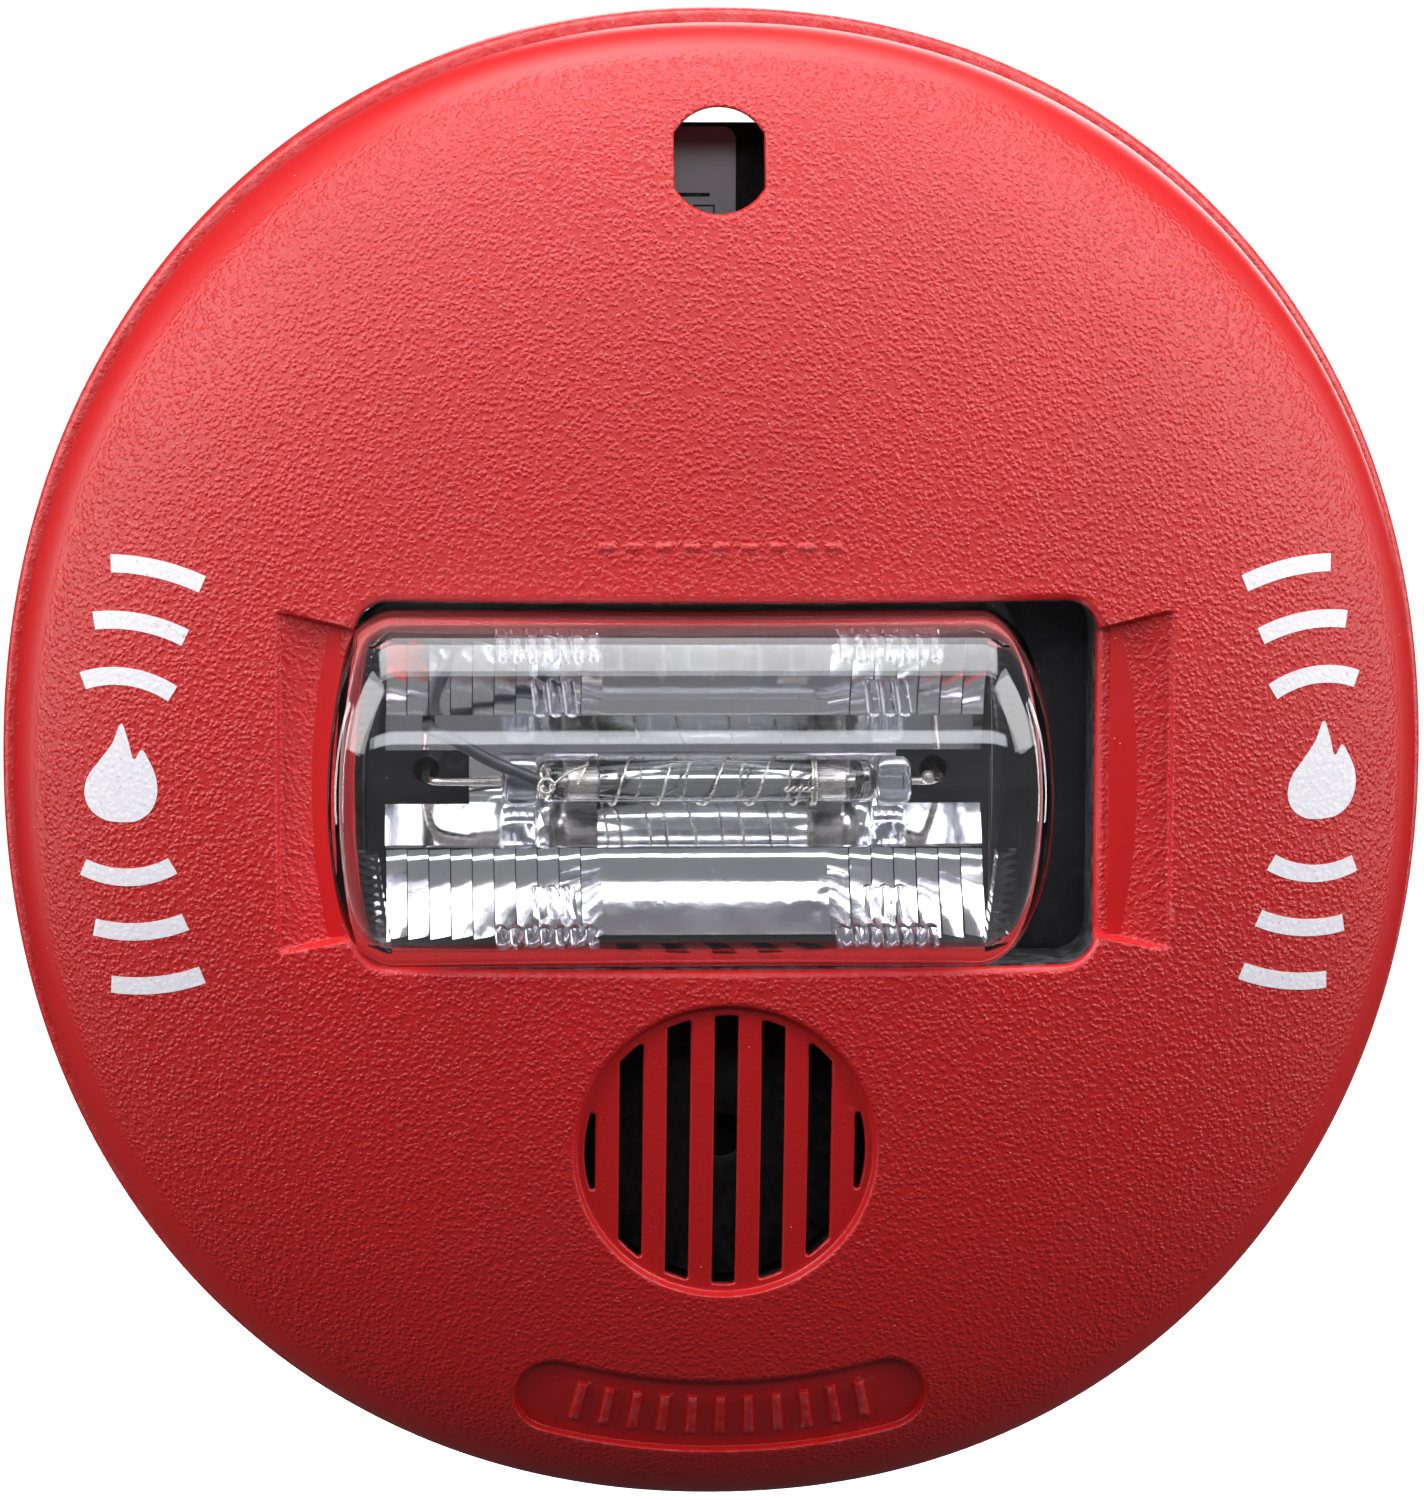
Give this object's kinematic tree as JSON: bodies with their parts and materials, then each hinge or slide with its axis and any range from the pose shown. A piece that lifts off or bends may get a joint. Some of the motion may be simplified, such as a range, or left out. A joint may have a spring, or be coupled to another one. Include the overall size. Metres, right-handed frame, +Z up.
{
  "type": "horn strobe",
  "caption": "Oval red domed horn strobe: a clear half-round flash lens over a slotted horn grille, on a base it tilts off.",
  "frame": {"origin": "middle of the outline on the plane of the wall, at the back of the mounting base", "axes": "+Z up the wall, +Y into the wall, the face looks along -Y, +X to the right as seen from the front"},
  "size_m": [0.1728, 0.058, 0.1822],
  "materials": {
    "red_moulding": "moulded red with a fine leather grain",
    "black_moulding": "moulded black, satin",
    "black_component": "moulded component body",
    "dip_red": "moulded switch body",
    "switch_white": "moulded lever",
    "terminal_green": "moulded terminal housing",
    "screw_steel": "zinc plated",
    "clamp_nickel": "nickel plated",
    "lead_nickel": "bright nickel wire",
    "lens_clear": "clear moulded polycarbonate",
    "tube_glass": "clear glass",
    "mirror_coating": "vacuum metallised",
    "sleeve_silicone": "translucent silicone",
    "lead_insulation": "satin insulation",
    "lead_red": "satin insulation",
    "solder_mask": "black solder mask",
    "label_paper": "blank printed label",
    "capacitor_sleeve": "shrink sleeve",
    "winding_copper": "enamelled copper wire",
    "diaphragm_brass": "rolled sheet, dark lacquered",
    "piezo_ceramic": "fired ceramic with a silvered face"
  },
  "bodies": {
    "base": {"mounting_base": "red_moulding"},
    "head": {"front_cover": "red_moulding", "chassis": "black_moulding", "strobe_tray": "black_moulding", "horn_cup": "black_moulding", "horn_throat_ring": "black_moulding", "candela_switch_body": "black_moulding", "trigger_transformer": "black_component", "inductor_core": "black_component", "control_chip": "black_component", "bridge_rectifier": "black_component", "switching_transistor": "black_component", "dip_switch_body": "dip_red", "terminal_block": "terminal_green", "board_screw_1": "screw_steel", "board_screw_2": "screw_steel", "board_screw_3": "screw_steel", "board_screw_4": "screw_steel", "cover_screw_1": "screw_steel", "cover_screw_2": "screw_steel", "cover_screw_3": "screw_steel", "cover_screw_4": "screw_steel", "terminal_screw_1": "screw_steel", "terminal_screw_2": "screw_steel", "terminal_screw_3": "screw_steel", "terminal_screw_4": "screw_steel", "wire_clamp_1": "clamp_nickel", "wire_clamp_2": "clamp_nickel", "wire_clamp_3": "clamp_nickel", "wire_clamp_4": "clamp_nickel", "tube_lead_left": "lead_nickel", "tube_lead_right": "lead_nickel", "trigger_wire": "lead_nickel", "strobe_lens": "lens_clear", "flash_tube": "tube_glass", "reflector": "mirror_coating", "tube_sleeve_left": "sleeve_silicone", "tube_sleeve_right": "sleeve_silicone", "trigger_lead": "lead_insulation", "horn_lead_black": "lead_insulation", "horn_lead_red": "lead_red", "circuit_board": "solder_mask", "board_label": "label_paper", "strobe_capacitor": "capacitor_sleeve", "inductor_winding": "winding_copper", "horn_diaphragm": "diaphragm_brass", "piezo_disc": "piezo_ceramic"},
    "latch": {"release_latch": "black_moulding"},
    "candela_selector": {"candela_slider": "switch_white"},
    "tone_lever": {"dip_lever_1": "switch_white"},
    "volume_lever": {"dip_lever_2": "switch_white"},
    "code_lever": {"dip_lever_3": "switch_white"}
  },
  "joints": [
    {"name": "head_tilt", "type": "hinge", "parent": "base", "child": "head", "pos_m": [0, -0.01225, -0.0911], "axis": [1, 0, 0], "range_deg": [0, 30]},
    {"name": "latch_flex", "type": "hinge", "parent": "base", "child": "latch", "pos_m": [0, -0.0028, 0.0869], "axis": [-1, 0, 0], "range_deg": [0, 7], "stiffness_Nm_per_rad": 0.35},
    {"name": "candela_slide", "type": "slide", "parent": "head", "child": "candela_selector", "axis": [1, 0, 0], "range_m": [0, 0.009]},
    {"name": "tone_lever_slide", "type": "slide", "parent": "head", "child": "tone_lever", "axis": [0, 0, 1], "range_m": [0, 0.0016]},
    {"name": "volume_lever_slide", "type": "slide", "parent": "head", "child": "volume_lever", "axis": [0, 0, 1], "range_m": [0, 0.0016]},
    {"name": "code_lever_slide", "type": "slide", "parent": "head", "child": "code_lever", "axis": [0, 0, 1], "range_m": [0, 0.0016]}
  ]
}
